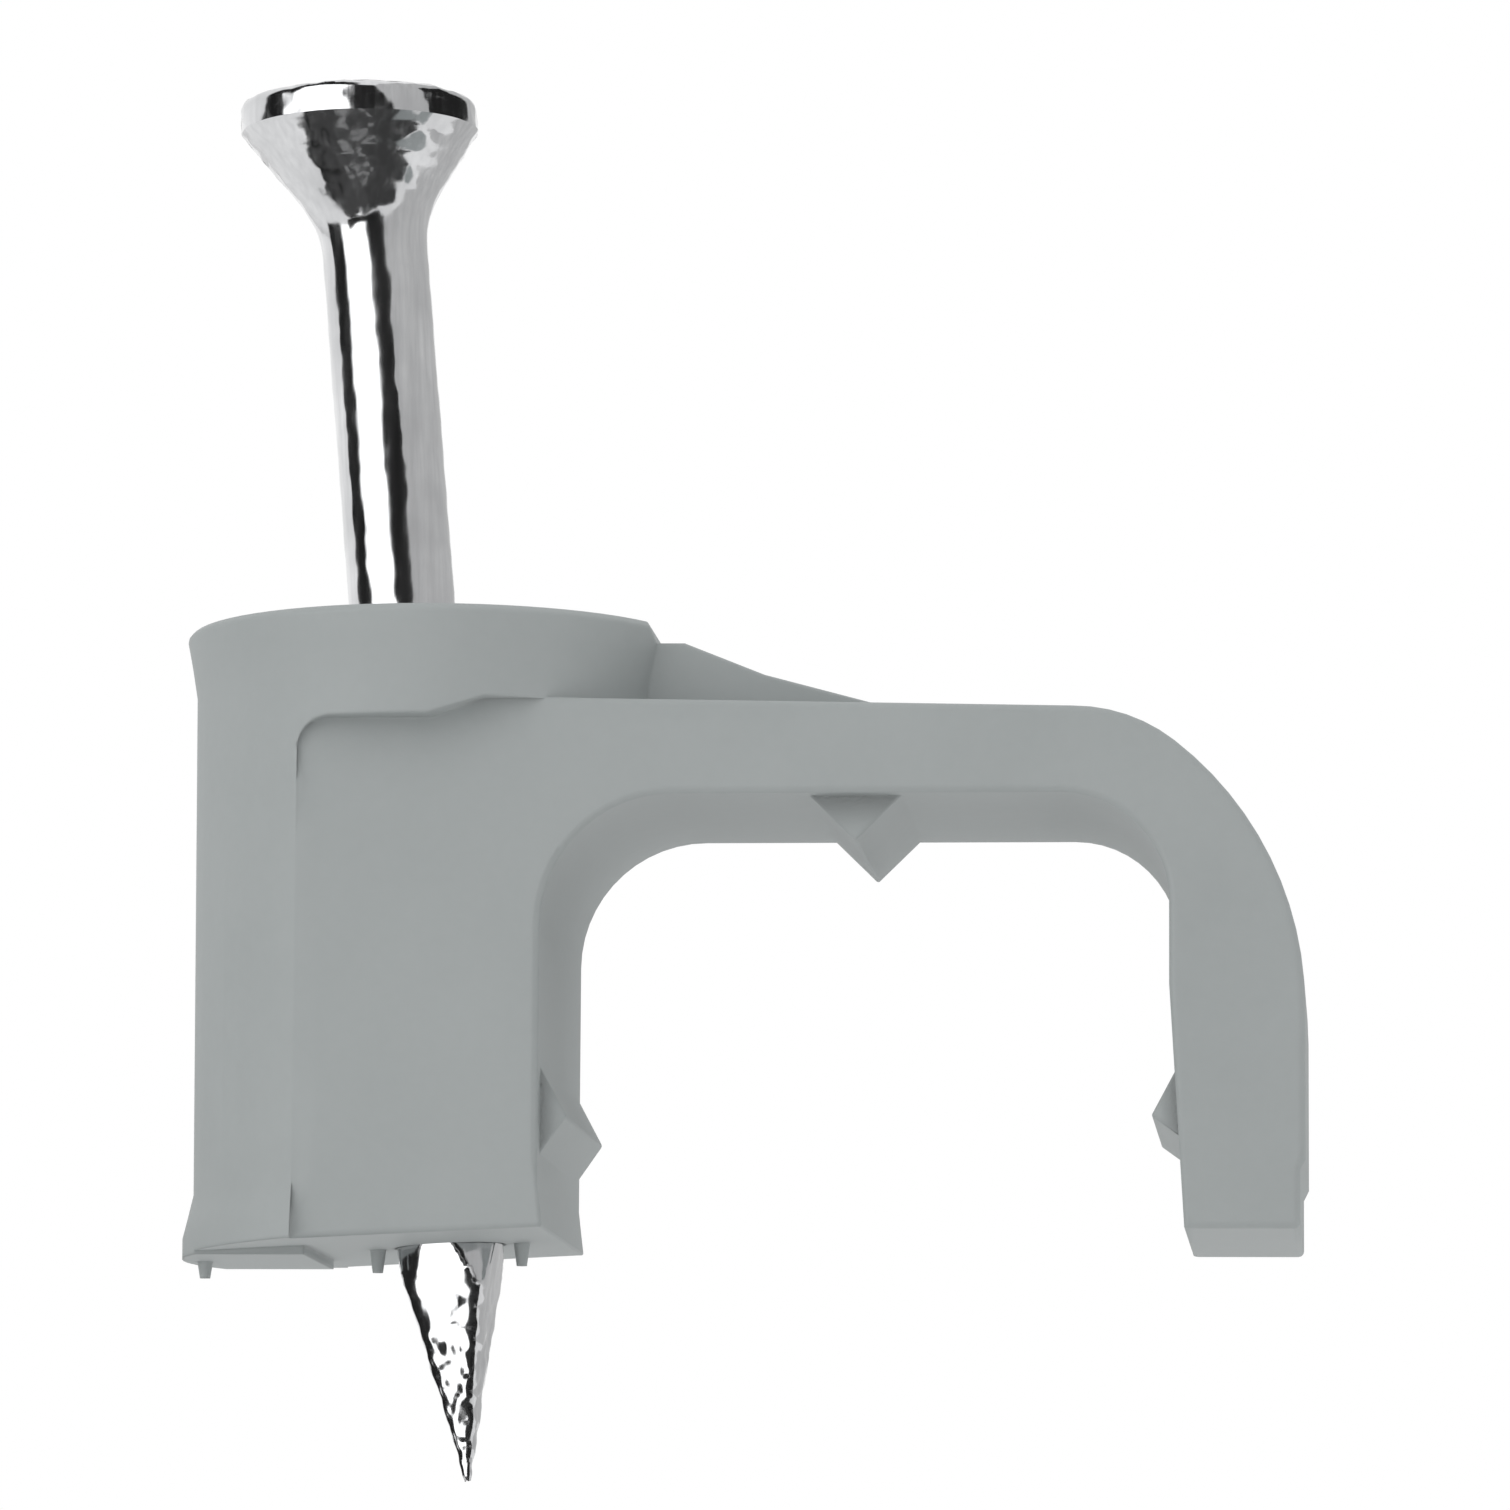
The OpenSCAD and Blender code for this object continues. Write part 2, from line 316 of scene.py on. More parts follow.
def cut_root(shape):
    """Cuts the arch's upper outlines near the boss, so that their rounding can fade out there."""
    for edge in shape.edges[:]:
        root, far = sorted(edge.verts, key=lambda v: v.co.x)
        at_boss = root.co.x < ROOT_X and root.co.z > SHOULDER_Z
        if at_boss and far.co.x > ROOT_X + ROOT_CUTS[-1] and on_outline(edge):
            for reach in reversed(ROOT_CUTS):
                edge = min(root.link_edges, key=lambda e: abs(e.other_vert(root).co.x - far.co.x))
                far = bmesh.utils.edge_split(edge, root, reach / edge.calc_length())[1]


points_before = len(moulding.verts)
cut_root(moulding)
print("added", len(moulding.verts) - points_before, "points at the arch's root")

# %% [markdown]
# ### The low step beside the flats
#
# The flat front and back are let into the round boss, which leaves a low upright step on the side away from
# the leg. On the moulding it is no sharp step but a slope. A bevel would only round its two edges, so the
# step's foot gets points at five heights instead, and each is moved into the flat by a run of its own.

# %% Low step as a slope
STEP_X = -2.55 * MM
STEP_LENGTH = 5 * MM
STEP_RUNS = {
    0.85 * MM: 0.4 * MM,
    3 * MM: 0.5 * MM,
    5.5 * MM: 0.5 * MM,
    7.5 * MM: 0.36 * MM,
    8.5 * MM: 0.16 * MM,
}


def points_up_edge(edge):
    """Points of an upright edge at the heights of the step's runs, cut in where they are new."""
    points = []
    low, high = sorted(edge.verts, key=lambda v: v.co.z)
    for height in STEP_RUNS:
        if height - low.co.z > MERGE_GAP:
            low = bmesh.utils.edge_split(edge, low, (height - low.co.z) / (high.co.z - low.co.z))[1]
            edge = next(e for e in low.link_edges if e.other_vert(low) is high)
        points.append(low)
    return points


def beside_flat(vert, side):
    """True for a point on the upright edges of the step, on the front (-1) or the back (1)."""
    return abs(vert.co.x - STEP_X) < MERGE_GAP and side * vert.co.y > ARCH_HALF - MERGE_GAP


def run_out_step(shape, side):
    """Turns the low step on one side into a slope."""
    upright = [e for e in shape.edges if e.calc_length() > STEP_LENGTH
               and all(beside_flat(v, side) for v in e.verts)]
    foot, lip = sorted(upright, key=lambda e: abs(e.verts[0].co.y))
    for low, top, run in zip(points_up_edge(foot), points_up_edge(lip), STEP_RUNS.values()):
        bmesh.ops.connect_verts(shape, verts=[low, top])
        low.co.x += run


for side in (-1, 1):
    run_out_step(moulding, side)
print("low step runs out by up to", round(max(STEP_RUNS.values()) / MM, 2), "mm")

# %% [markdown]
# ### How much each edge is rounded
#
# Moulded edges are not all alike: the outlines of the arch are softest, ribs and corners are crisper, and
# the bore and the small spurs are left sharp. The edges could be picked by hand, but a rule finds them
# again when the CAD changes. It gives every outer edge a bevel weight, its share of the full rounding,
# which fades at the arch's root and is nothing on the boss's round side.

# %% Shares of the rounding
SHARP_ANGLE = math.radians(28)
SMALL_SHARE = 0.4
UNDERSIDE_Z = 0.4 * MM
COLLAR_Z = 10.3 * MM
WALL_X = 2 * MM
BORE_R = 1.2 * MM


def along_and_off(point):
    """How far a point lies along the nail's axis, and how far off it."""
    along = point.dot(NAIL_AXIS)
    return along, (point - along * NAIL_AXIS).length


def rounding_share(edge):
    """Share of the full rounding that an edge gets."""
    ends = [v.co for v in edge.verts]
    lowest, highest = sorted(e.z for e in ends)
    if edge.calc_face_angle_signed(0) < SHARP_ANGLE or all(along_and_off(e)[1] < BORE_R for e in ends):
        return 0
    under_boss = lowest < UNDERSIDE_Z and max(e.x for e in ends) < LEG_X
    if under_boss and min(e.x for e in ends) > WALL_X:
        return SMALL_SHARE
    if on_outline(edge):
        middle = (ends[0].x + ends[1].x) / 2
        fade = (middle - ROOT_X) / ROOT_CUTS[-1] if lowest > SHOULDER_Z else 1
        return min(max(fade, 0), 1)
    in_boss_skin = max(abs(e.y) for e in ends) > ARCH_HALF and highest < COLLAR_Z
    return 0 if in_boss_skin or under_boss else SMALL_SHARE


weight = moulding.edges.layers.float.new("bevel_weight_edge")
for edge in moulding.edges:
    edge[weight] = rounding_share(edge)
print("rounded edges:", sum(edge[weight] > 0 for edge in moulding.edges), "of", len(moulding.edges))

# %% [markdown]
# ### The rounded body
#
# The edges could be rounded by the Bevel tool in Edit Mode, but the modifier reads the weights and keeps
# its width as one number. A Weighted Normal modifier after it keeps the flats flat. The result is then
# kept as a plain mesh, so that no modifier is left on the piece.

# %% Body with softened edges
EDGE_ROUND = 0.11 * MM
ROUND_FACES = 3


def plain_mesh(name, modified):
    """What an object looks like with its modifiers, as a mesh of its own."""
    evaluated = modified.evaluated_get(bpy.context.evaluated_depsgraph_get())
    mesh = bpy.data.meshes.new_from_object(evaluated)
    mesh.name = name
    return mesh


def softened_body(shape):
    """The body's object, with its weighted edges rounded."""
    mesh = bpy.data.meshes.new("body_sharp")
    shape.to_mesh(mesh)
    shape.free()
    mesh.shade_smooth()
    mesh.set_sharp_from_angle(angle=SHARP_ANGLE)
    mesh.materials.append(plastic)
    body = bpy.data.objects.new("moulded_body", mesh)
    bpy.context.scene.collection.objects.link(body)
    rounding = body.modifiers.new("rounding", "BEVEL")
    rounding.limit_method = "WEIGHT"
    rounding.width = EDGE_ROUND
    rounding.segments = ROUND_FACES
    rounding.use_clamp_overlap = False
    normals = body.modifiers.new("normals", "WEIGHTED_NORMAL")
    normals.keep_sharp = True
    rounded = plain_mesh("moulded_body", body)
    body.modifiers.clear()
    body.data = rounded
    return body


body = softened_body(moulding)
print("body has", len(body.data.polygons), "faces")

# %% [markdown]
# ### The round side of the boss
#
# The boss is round, but its mesh is a ring of flat facets. A finer mesh would hide them at the cost of
# many faces. Shading follows the normals, so those of the boss's side are pointed straight out from its
# axis, with the slope of its flared ends kept, and the facets shade as one smooth turn.

# %% Boss shaded round
BOSS_X = -0.3 * MM
BOSS_SKIN = (4.5 * MM, 5.0 * MM)
ROUND_SHARE = 0.85


def out_of_boss(point):
    """Level line from the boss's own axis to a point."""
    return Vector((point.x - BOSS_X, point.y, 0))


def is_boss_skin(mesh, face):
    """True for a face of the boss's round side."""
    middle = out_of_boss(face.center)
    spokes = [out_of_boss(mesh.vertices[v].co).length for v in face.vertices] + [middle.length]
    on_skin = min(spokes) > BOSS_SKIN[0] and max(spokes) < BOSS_SKIN[1]
    return on_skin and face.normal.dot(middle.normalized()) > ROUND_SHARE


def shade_boss_round(mesh):
    """Points the normals of the boss's round side out from its axis and returns how many faces it has."""
    skin = [face for face in mesh.polygons if is_boss_skin(mesh, face)]
    slopes = {}
    for face in skin:
        for v in face.vertices:
            slopes.setdefault(v, []).append(face.normal.z)
    normals = [corner.vector.copy() for corner in mesh.corner_normals]
    for face in skin:
        for corner, v in zip(face.loop_indices, face.vertices):
            slope = sum(slopes[v]) / len(slopes[v])
            spoke = out_of_boss(mesh.vertices[v].co).normalized()
            normals[corner] = spoke * math.sqrt(1 - slope ** 2) + Vector((0, 0, slope))
    mesh.normals_split_custom_set(normals)
    return len(skin)


print("boss shaded round on", shade_boss_round(body.data), "faces")
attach(body, "clip")
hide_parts("clip_body")

# %% [markdown]
# ## The nail
#
# A nail is a wire whose radius follows a rule along its length: a point, a plain shank, a fillet, a
# countersunk cone and a rim. It could be turned from a drawn profile with a Screw modifier, but a rule is
# a handful of Math nodes, so Geometry Nodes suit it better. The main sizes are measured from the CAD
# nail, so that both stay the same, and the rest are the small sizes of this nail's head and point.

# %% Measure the nail
HEAD_RIM = 0.68 * MM
HEAD_ROUND = 0.28 * MM
HEAD_ANGLE = math.radians(37)
NECK_BLEND = 0.6 * MM
POINT_LENGTH = 4.95 * MM
POINT_TURN = math.radians(-9)
nail_points = [along_and_off(v.co) for v in frame["nodes"]["nail"].data.vertices]
TIP_Z = min(along for along, off in nail_points)
TOP_Z = max(along for along, off in nail_points)
HEAD_R = max(off for along, off in nail_points)
SHANK_R = max(off for along, off in nail_points if along < (TIP_Z + TOP_Z) / 2)
print("nail", round((TOP_Z - TIP_Z) / MM, 2), "mm long, shank", round(2 * SHANK_R / MM, 2), "mm, head",
      round(2 * HEAD_R / MM, 2), "mm")

# %% [markdown]
# ### Helpers for geometry
#
# A Geometry Nodes tree passes a shape from node to node and works out numbers for each of its points.
# Three more helpers cover that: one makes a vector, one takes a point's place apart, and one adds a node
# that changes the shape.

# %% Geometry Nodes helpers


def place_from(group, x, y, z):
    """A vector from three numbers or sockets."""
    return add_node(group, "ShaderNodeCombineXYZ", x=x, y=y, z=z).outputs[0]


def own_place(group):
    """The x, y and z of each point as sockets."""
    place = add_node(group, "GeometryNodeInputPosition").outputs[0]
    return add_node(group, "ShaderNodeSeparateXYZ", vector=place).outputs


def reshaped(group, kind, geometry, **values):
    """A node that takes geometry in and gives it back changed."""
    node = add_node(group, kind, **values)
    feed(group, geometry, node.inputs[0])
    return node.outputs[0]


print("geometry helpers ready")

# %% [markdown]
# ### The radius rule
#
# A header strikes the wire's end into a rim over a cone, and leaves a fillet where the cone meets the
# shank. Each of these is a line or an arc against the height, and a hand-drawn curve would have to be
# redrawn for another head. So the cone is one formula and the rounded rim another. A smooth maximum with
# the shank makes the fillet, and the smaller of the two radii is the nail's.

# %% Radius rule


def radius_rule(group, sizes, z):
    """Radius of the nail at the height z along its axis."""
    drop = maths(group, "SUBTRACT", sizes["Top"], z)
    below_rim = maths(group, "SUBTRACT", drop, sizes["Rim"])
    slope = maths(group, "TANGENT", sizes["Cone Angle"])
    cone = maths(group, "SUBTRACT", sizes["Head Radius"], maths(group, "MULTIPLY", below_rim, slope))
    flank = maths(group, "SMOOTH_MAX", cone, sizes["Shank Radius"], sizes["Neck"])
    into_round = maths(group, "MAXIMUM", maths(group, "SUBTRACT", sizes["Rounding"], drop), 0.0)
    square = maths(group, "SUBTRACT", maths(group, "MULTIPLY", sizes["Rounding"], sizes["Rounding"]),
                   maths(group, "MULTIPLY", into_round, into_round))
    shoulder = maths(group, "SUBTRACT", sizes["Head Radius"], sizes["Rounding"])
    rim = maths(group, "ADD", shoulder, maths(group, "SQRT", maths(group, "MAXIMUM", square, 0.0)))
    return maths(group, "MINIMUM", flank, rim)


print("radius rule ready")

# %% [markdown]
# ### The struck head
#
# The header never strikes quite true, so a real head sits a little beside the wire's axis and at a small
# cant. The head could be a piece of its own, turned a little, but then the cone would show a seam. A
# share that rises smoothly up the cone shifts and tips the points of the one skin instead.

# %% Struck head


def ramp(group, value, low, high):
    """Rises smoothly from 0 to 1 between low and high."""
    node = add_node(group, "ShaderNodeMapRange", interpolation_type="SMOOTHSTEP",
                    value=value, from_min=low, from_max=high)
    return node.outputs[0]


def head_share(group, sizes, z):
    """0 on the shank, rising up the cone to 1 at the rim."""
    cone = maths(group, "DIVIDE", sizes["Head Radius"], maths(group, "TANGENT", sizes["Cone Angle"]))
    return ramp(group, z, maths(group, "SUBTRACT", sizes["Top"], cone),
                maths(group, "SUBTRACT", sizes["Top"], sizes["Rim"]))


def strike_head(group, sizes, geometry):
    """Shifts and cants the head a little, fading out down the cone."""
    x, _, z = own_place(group)
    amount = head_share(group, sizes, z)
    shift = maths(group, "MULTIPLY", maths(group, "MULTIPLY", sizes["Head Shift"], -1.0), amount)
    slope = maths(group, "TANGENT", sizes["Head Cant"])
    cant = maths(group, "MULTIPLY", slope, maths(group, "MULTIPLY", x, -1.0))
    rise = maths(group, "MULTIPLY", maths(group, "ADD", cant, sizes["Head Lift"]), amount)
    return reshaped(group, "GeometryNodeSetPosition", geometry, offset=place_from(group, shift, 0.0, rise))


print("head helpers ready")

# %% [markdown]
# ### The diamond point
#
# Cutters pinch the wire from four sides, which leaves four facets that meet in ridges, worn round near
# the blunt tip. A pyramid could be cut out with a Boolean, but its ridges would be too sharp. Here every
# point of the tip is drawn in towards the axis, onto an outline that is nearly round at the tip and
# squarer higher up.

# %% Diamond point
FACET_SHARE = 0.94
LEAST_REACH = 1e-6


def pinch_point(group, sizes, geometry):
    """Draws every point of the tip in onto four facets, which meet in worn ridges."""
    x, y, z = own_place(group)
    cosine = maths(group, "COSINE", sizes["Point Turn"])
    sine = maths(group, "SINE", sizes["Point Turn"])
    across = maths(group, "ADD", maths(group, "MULTIPLY", x, cosine), maths(group, "MULTIPLY", y, sine))
    beside = maths(group, "SUBTRACT", maths(group, "MULTIPLY", y, cosine),
                   maths(group, "MULTIPLY", x, sine))
    taper = maths(group, "DIVIDE", maths(group, "SUBTRACT", z, sizes["Tip"]), sizes["Point Length"])
    power = maths(group, "ADD", sizes["Ridge Power"], maths(group, "MULTIPLY", taper, sizes["Ridge Gain"]))
    parts = [maths(group, "ABSOLUTE", maths(group, "DIVIDE", part, sizes["Shank Radius"]))
             for part in (across, beside)]
    total = maths(group, "ADD", *[maths(group, "POWER", part, power) for part in parts])
    reach = maths(group, "POWER", total, maths(group, "DIVIDE", 1.0, power))
    safe_reach = maths(group, "MAXIMUM", reach, LEAST_REACH)
    width = maths(group, "ADD", maths(group, "MULTIPLY", taper, FACET_SHARE), sizes["Blunt Share"])
    share = maths(group, "MINIMUM", maths(group, "DIVIDE", width, safe_reach), 1.0)
    place = place_from(group, maths(group, "MULTIPLY", x, share), maths(group, "MULTIPLY", y, share), z)
    return reshaped(group, "GeometryNodeSetPosition", geometry, position=place)


print("point helper ready")

# %% [markdown]
# ### Waves and dents
#
# Drawing leaves the wire a little wavy, and the blows that form the head and the point leave small dents
# there. Both could be sculpted, but a noise with a fixed seed gives the same skin every time. Its level is
# set so that it sinks the skin rather than raises it, and the nail stays within its sizes.

# %% Waves and dents
UNTOUCHED_LEVEL = 0.8
WAVE_DETAIL = 1.0


def sunk_noise(group, sizes, geometry, height, size, amount=1.0):
    """Sinks the skin by up to height in a noise whose hollows are about size across."""
    noise = add_node(group, "ShaderNodeTexNoise", noise_dimensions="4D", detail=WAVE_DETAIL,
                     w=sizes["Seed"], scale=maths(group, "DIVIDE", 1.0, size))
    level = maths(group, "SUBTRACT", noise.outputs[0], UNTOUCHED_LEVEL)
    sink = maths(group, "MULTIPLY", maths(group, "MULTIPLY", level, height), amount)
    normal = add_node(group, "GeometryNodeInputNormal").outputs[0]
    inwards = add_node(group, "ShaderNodeVectorMath", operation="SCALE", vector=normal, scale=sink)
    return reshaped(group, "GeometryNodeSetPosition", geometry, offset=inwards.outputs[0])


def struck_parts(group, sizes):
    """1 on the head and on the point, which are formed by blows, and 0 on the drawn shank."""
    z = own_place(group)[2]
    point_end = maths(group, "ADD", sizes["Tip"], sizes["Point Length"])
    half_way = maths(group, "ADD", sizes["Tip"], maths(group, "MULTIPLY", sizes["Point Length"], 0.5))
    on_point = maths(group, "SUBTRACT", 1.0, ramp(group, z, half_way, point_end))
    return maths(group, "MAXIMUM", on_point, head_share(group, sizes, z))


print("wave and dent helpers ready")

# %% [markdown]
# ### The tree
#
# The tree has a named input for every size. A line along the axis gets the radius rule as its scale,
# Curve to Mesh skins it with a circle, and the steps above then wave the wire, strike the head, pinch the
# point and dent both ends. Everything is made upright, where the rules are simple, and leans over at the
# end.

# %% Nail tree
RINGS = 520
SIDES = 80
NAIL_SIZES = {
    "Tip": TIP_Z, "Top": TOP_Z, "Shank Radius": SHANK_R, "Head Radius": HEAD_R, "Lean": NAIL_LEAN,
    "Rim": HEAD_RIM, "Rounding": HEAD_ROUND, "Cone Angle": HEAD_ANGLE, "Neck": NECK_BLEND,
    "Head Shift": 0.12 * MM, "Head Lift": 0.1 * MM, "Head Cant": math.radians(3.5),
    "Point Length": POINT_LENGTH, "Point Turn": POINT_TURN,
    "Ridge Power": 2.2, "Ridge Gain": 5.0, "Blunt Share": 0.075,
    "Wave Height": 0.04 * MM, "Wave Size": 0.55 * MM,
    "Dent Height": 0.12 * MM, "Dent Size": 0.36 * MM, "Seed": 4.0,
}


def wire_skin(group, sizes):
    """The wire's plain skin: a circle along a line, scaled by the radius rule."""
    tip = place_from(group, 0.0, 0.0, sizes["Tip"])
    top = place_from(group, 0.0, 0.0, sizes["Top"])
    line = add_node(group, "GeometryNodeCurvePrimitiveLine", start=tip, end=top)
    axis = reshaped(group, "GeometryNodeResampleCurve", line.outputs[0], count=RINGS)
    circle = add_node(group, "GeometryNodeCurvePrimitiveCircle", resolution=SIDES, radius=1)
    turned = reshaped(group, "GeometryNodeTransform", circle.outputs[0],
                      rotation=place_from(group, 0.0, 0.0, sizes["Point Turn"]))
    radius = radius_rule(group, sizes, own_place(group)[2])
    return reshaped(group, "GeometryNodeCurveToMesh", axis, profile_curve=turned, scale=radius,
                    fill_caps=True)


def nail_tree(material):
    group = bpy.data.node_groups.new("nail", "GeometryNodeTree")
    group.interface.new_socket("Geometry", in_out="OUTPUT", socket_type="NodeSocketGeometry")
    for name in NAIL_SIZES:
        group.interface.new_socket(name, in_out="INPUT", socket_type="NodeSocketFloat")
    sizes = add_node(group, "NodeGroupInput").outputs
    skin = wire_skin(group, sizes)
    skin = sunk_noise(group, sizes, skin, sizes["Wave Height"], sizes["Wave Size"])
    skin = strike_head(group, sizes, skin)
    skin = pinch_point(group, sizes, skin)
    struck = struck_parts(group, sizes)
    skin = sunk_noise(group, sizes, skin, sizes["Dent Height"], sizes["Dent Size"], struck)
    skin = reshaped(group, "GeometryNodeMergeByDistance", skin, distance=MERGE_GAP)
    leaning = place_from(group, 0.0, maths(group, "MULTIPLY", sizes["Lean"], -1.0), 0.0)
    skin = reshaped(group, "GeometryNodeTransform", skin, rotation=leaning)
    skin = reshaped(group, "GeometryNodeRealizeInstances", skin)
    skin = reshaped(group, "GeometryNodeSetMaterial", skin, material=material)
    feed(group, skin, add_node(group, "NodeGroupOutput").inputs[0])
    return group


tree = nail_tree(zinc)
print("nail tree has", len(tree.nodes), "nodes")

# %% [markdown]
# ### From tree to mesh
#
# The modifier's inputs are set by their identifiers, because names may repeat. The modifier could stay
# live, but what rides on the nail's body has to be just a mesh. So the evaluated result is kept as a
# plain mesh, and the object that held the modifier goes away.

# %% Nail as a plain mesh


def mesh_from_tree(name, group, values):
    """An object with the plain mesh that a tree makes from the values of its inputs."""
    holder = bpy.data.objects.new(name + "_holder", bpy.data.meshes.new(name + "_holder"))
    bpy.context.scene.collection.objects.link(holder)
    modifier = holder.modifiers.new("tree", "NODES")
    modifier.node_group = group
    for socket in group.interface.items_tree:
        if socket.in_out == "INPUT":
            modifier[socket.identifier] = values[socket.name]
    mesh = plain_mesh(name, holder)
    holder.modifiers.remove(modifier)
    bpy.data.objects.remove(holder)
    piece = bpy.data.objects.new(name, mesh)
    bpy.context.scene.collection.objects.link(piece)
    return piece


nail = mesh_from_tree("zinc_nail", tree, NAIL_SIZES)
nail.data.shade_smooth()
nail.data.set_sharp_from_angle(angle=SHARP_ANGLE)
print("nail has", len(nail.data.polygons), "faces")
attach(nail, "nail")
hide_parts("nail")

# %% [markdown]
# ## The studio
#
# Such a part is photographed in a light tent, where soft white light comes from all round. A picture of a
# real studio could light it, but a plain world is even and easy to set. It gives most of the light. To
# the camera and in reflections it shows as plain white, which the Light Path node tells apart.

# %% World
SKY_LIGHT = 0.71
WHITE = (1, 1, 1, 1)


def white_world():
    world = bpy.data.worlds.new("light_tent")
    world.use_nodes = True
    tree = world.node_tree
    shown = tree.nodes["Background"]
    lit = add_node(tree, "ShaderNodeBackground", strength=SKY_LIGHT)
    for background in (shown, lit):
        feed(tree, WHITE, background.inputs["Color"])
    path = add_node(tree, "ShaderNodeLightPath").outputs
    seen = maths(tree, "MAXIMUM", path["Is Camera Ray"], path["Is Glossy Ray"])
    seen = maths(tree, "MAXIMUM", seen, path["Is Transmission Ray"])
    mix = add_node(tree, "ShaderNodeMixShader")
    for socket, source in zip(mix.inputs, (seen, lit.outputs[0], shown.outputs[0])):
        feed(tree, source, socket)
    feed(tree, mix.outputs[0], tree.nodes["World Output"].inputs["Surface"])
    bpy.context.scene.world = world
    return world


world = white_world()
bpy.context.scene.view_settings.view_transform = "Standard"
print(world.name, "gives light of strength", SKY_LIGHT)

# %% [markdown]
# ### The floor
#
# A sheet of white card lies under the clip and throws soft light up into the channel. It could be a
# curved backdrop, but the world is white already, so a flat disc is enough. It lies just under the point
# of the driven nail, so that the nail never runs into it.

# %% Floor
FLOOR_Z = -12.5 * MM
FLOOR_R = 1.5
FLOOR_SIDES = 96
FLOOR_COLOUR = (0.94, 0.94, 0.94, 1)
FLOOR_ROUGHNESS = 0.9
FLOOR_SHINE = 0.1


def floor_card():
    material, tree, shader = new_material("pale_floor")
    feed(tree, FLOOR_COLOUR, shader.inputs["Base Color"])
    feed(tree, FLOOR_ROUGHNESS, shader.inputs["Roughness"])
    feed(tree, FLOOR_SHINE, shader.inputs["Specular IOR Level"])
    return material


def pale_floor():
    shape = bmesh.new()
    bmesh.ops.create_circle(shape, cap_ends=True, segments=FLOOR_SIDES, radius=FLOOR_R)
    bmesh.ops.translate(shape, verts=shape.verts, vec=(0, 0, FLOOR_Z))
    mesh = bpy.data.meshes.new("floor")
    shape.to_mesh(mesh)
    shape.free()
    mesh.materials.append(floor_card())
    floor = bpy.data.objects.new("floor", mesh)
    bpy.context.scene.collection.objects.link(floor)
    return floor


floor = pale_floor()
print(floor.name, "lies", round(-FLOOR_Z / MM, 1), "mm below the wall plane")

# %% [markdown]
# ### The lamps
#
# Three large soft boxes give the light a direction: one overhead, a weak one from the left and a weaker
# one from the right behind. Small lamps would throw hard shadows, which a light tent does not have. Metal
# would show the lamps as bright squares, so reflections do not see them and the cards below stand in for
# them.

# %% Lamps
STUDIO_CENTRE = Vector((2, 0, 9)) * MM
LAMPS = {
    "overhead": {"place": (0, -20, 340), "size": 600, "power": 0.6},
    "left_key": {"place": (-250, -200, 70), "size": 260, "power": 0.17},
    "right_back": {"place": (280, 120, 40), "size": 200, "power": 0.08},
}


def area_lamp(name, spec):
    """A square lamp that looks at the studio's centre."""
    data = bpy.data.lights.new(name, "AREA")
    data.energy = spec["power"]
    data.size = spec["size"] * MM
    lamp = bpy.data.objects.new(name, data)
    lamp.location = Vector(spec["place"]) * MM
    lamp.rotation_mode = "QUATERNION"
    lamp.rotation_quaternion = (STUDIO_CENTRE - lamp.location).to_track_quat("-Z", "Y")
    lamp.visible_camera = False
    lamp.visible_glossy = False
    bpy.context.scene.collection.objects.link(lamp)
    return lamp


lamps = [area_lamp(name, spec) for name, spec in LAMPS.items()]
print("lamps:", ", ".join(lamp.name for lamp in lamps))

# %% [markdown]
# ### Cards that only reflections see
#
# Bright metal shows what stands round it, and it needs something dark to reflect too. A photographer
# stands white and dark cards round the set, and so does this script. Each card is a flat sheet with an
# even tone. Ray visibility keeps all of them out of the picture and out of the plastic's soft light.

# %% A card


def even_tone(name, tone):
    """A material that shows one tone of grey, whatever light falls on it."""
    material, tree, shader = new_material(name)
    tree.nodes.remove(shader)
    light = add_node(tree, "ShaderNodeEmission", strength=tone)
    feed(tree, WHITE, light.inputs["Color"])
    feed(tree, light.outputs[0], tree.nodes["Material Output"].inputs["Surface"])
    return material


def card(name, places, tone):
    """A four-cornered sheet that only reflections see."""
    mesh = bpy.data.meshes.new(name)
    mesh.from_pydata(places, [], [(0, 1, 2, 3)])
    mesh.materials.append(even_tone(name, tone))
    sheet = bpy.data.objects.new(name, mesh)
    bpy.context.scene.collection.objects.link(sheet)
    sheet.visible_camera = False
    sheet.visible_diffuse = False
    sheet.visible_shadow = False
    sheet.visible_transmission = False
    return sheet


print("card helpers ready")

# %% [markdown]
# ### Tall cards
#
# The tall cards stand far off and give the shank its long bands of light and dark. They could be placed
# by their corners, but a photographer would say how far round from the front a card stands, and how far
# up it reaches, both in degrees. So the corners are worked out from those.

# %% Tall cards
CARD_DISTANCE = 170 * MM
TALL_CARDS = {
    "white_card": {"round": (-63, -9), "up": (-25, 55), "tone": 2.0},
    "dark_card_right": {"round": (-8, 30), "up": (-30, 60), "tone": 0.02},
    "dark_card_left": {"round": (-97, -66), "up": (-30, 60), "tone": 0.02},
    "dark_card_high_left": {"round": (-100, -50), "up": (50, 86), "tone": 0.02},
    "dark_card_high": {"round": (-50, 0), "up": (50, 86), "tone": 0.02},
    "grey_card_right": {"round": (31, 170), "up": (-8, 60), "tone": 0.58},
}


def tall_corners(spec):
    """Corners of a sheet, from its bounds round from the front and up from the level."""
    places = []
    for i, j in ((0, 0), (1, 0), (1, 1), (0, 1)):
        turn, rise = math.radians(spec["round"][i]), math.radians(spec["up"][j])
        aim = Vector((math.sin(turn) * math.cos(rise), -math.cos(turn) * math.cos(rise), math.sin(rise)))
        places.append(STUDIO_CENTRE + CARD_DISTANCE * aim)
    return places


tall = [card(name, tall_corners(spec), spec["tone"]) for name, spec in TALL_CARDS.items()]
print("tall cards:", ", ".join(sheet.name for sheet in tall))
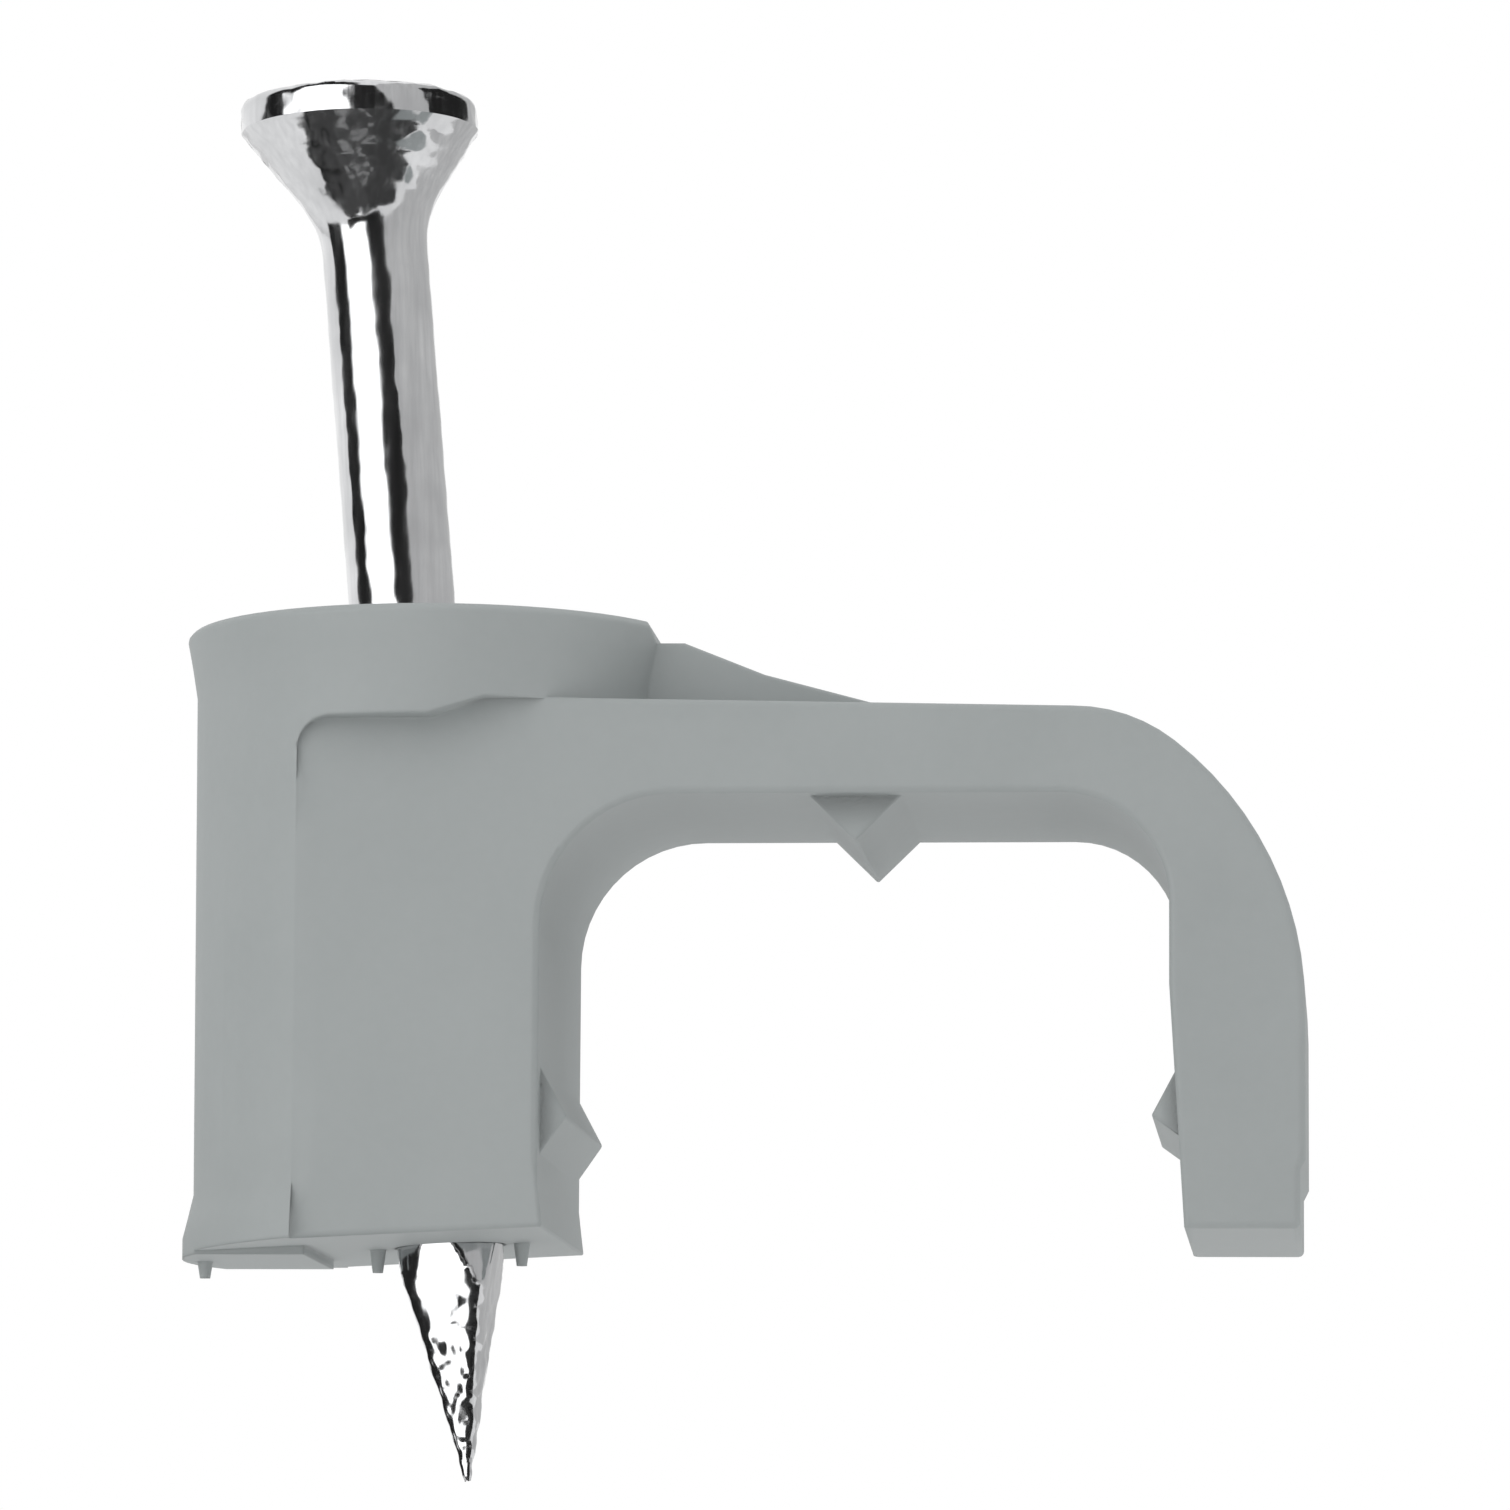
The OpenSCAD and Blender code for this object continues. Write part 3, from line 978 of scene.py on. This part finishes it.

# %% [markdown]
# ### Near sheets
#
# The head's cone and the facets of the point look down, so they reflect what lies near the clip. Small
# sheets lie level there, some dark and some light, and narrow ones stand upright beside the point and the
# rim. They are given in millimetres: a level sheet by its corners and its height, and an
# upright one by its two ends on plan and how far up it reaches.

# %% Near sheets
LEVEL_SHEETS = {
    "dark_sheet_front": {
        "corners": ((-24, -34), (24, -34), (24, -8), (-24, -8)), "height": 0, "tone": 0.06},
    "grey_sheet_left": {
        "corners": ((-9, -12.4), (-5, -14.6), (-4, -12.8), (-7, -10.6)), "height": 0.1, "tone": 0.3},
    "grey_sheet_front": {
        "corners": ((-3, -17), (1, -17), (1, -15), (-3, -15)), "height": 0.1, "tone": 0.3},
    "grey_sheet_right": {
        "corners": ((1, -13.4), (4, -13), (4, -11), (1, -11.4)), "height": 0.1, "tone": 0.3},
    "white_sheet_low": {
        "corners": ((-8, -10), (-2, -13), (-12, -60), (-38, -48)), "height": -12, "tone": 2.0},
    "dark_sheet_low": {
        "corners": ((-44, -64), (24, -64), (24, -7), (-44, -7)), "height": -12.2, "tone": 0.04},
}
UPRIGHT_SHEETS = {
    "dark_strip_left": {"ends": ((-16, -15), (-16, 15)), "up": (-12, 2.5), "tone": 0.02},
    "dark_strip_front": {"ends": ((-62, -62), (32, -72)), "up": (-12, 8), "tone": 0.02},
    "dark_sheet_rim": {"ends": ((7.6, -2.7), (4.7, 4.5)), "up": (22.9, 31), "tone": 0.02},
    "dark_strip_right": {"ends": ((6, -20), (22, -9)), "up": (-12, -5), "tone": 0.02},
}


def level_corners(spec):
    return [Vector((x, y, spec["height"])) * MM for x, y in spec["corners"]]


def upright_corners(spec):
    """Corners of a sheet that stands on its two ends: along the bottom, then back along the top."""
    start, end = spec["ends"]
    low, high = spec["up"]
    corners = (*start, low), (*end, low), (*end, high), (*start, high)
    return [Vector(corner) * MM for corner in corners]


near = [card(name, level_corners(spec), spec["tone"]) for name, spec in LEVEL_SHEETS.items()]
near += [card(name, upright_corners(spec), spec["tone"]) for name, spec in UPRIGHT_SHEETS.items()]
print("near sheets:", ", ".join(sheet.name for sheet in near))
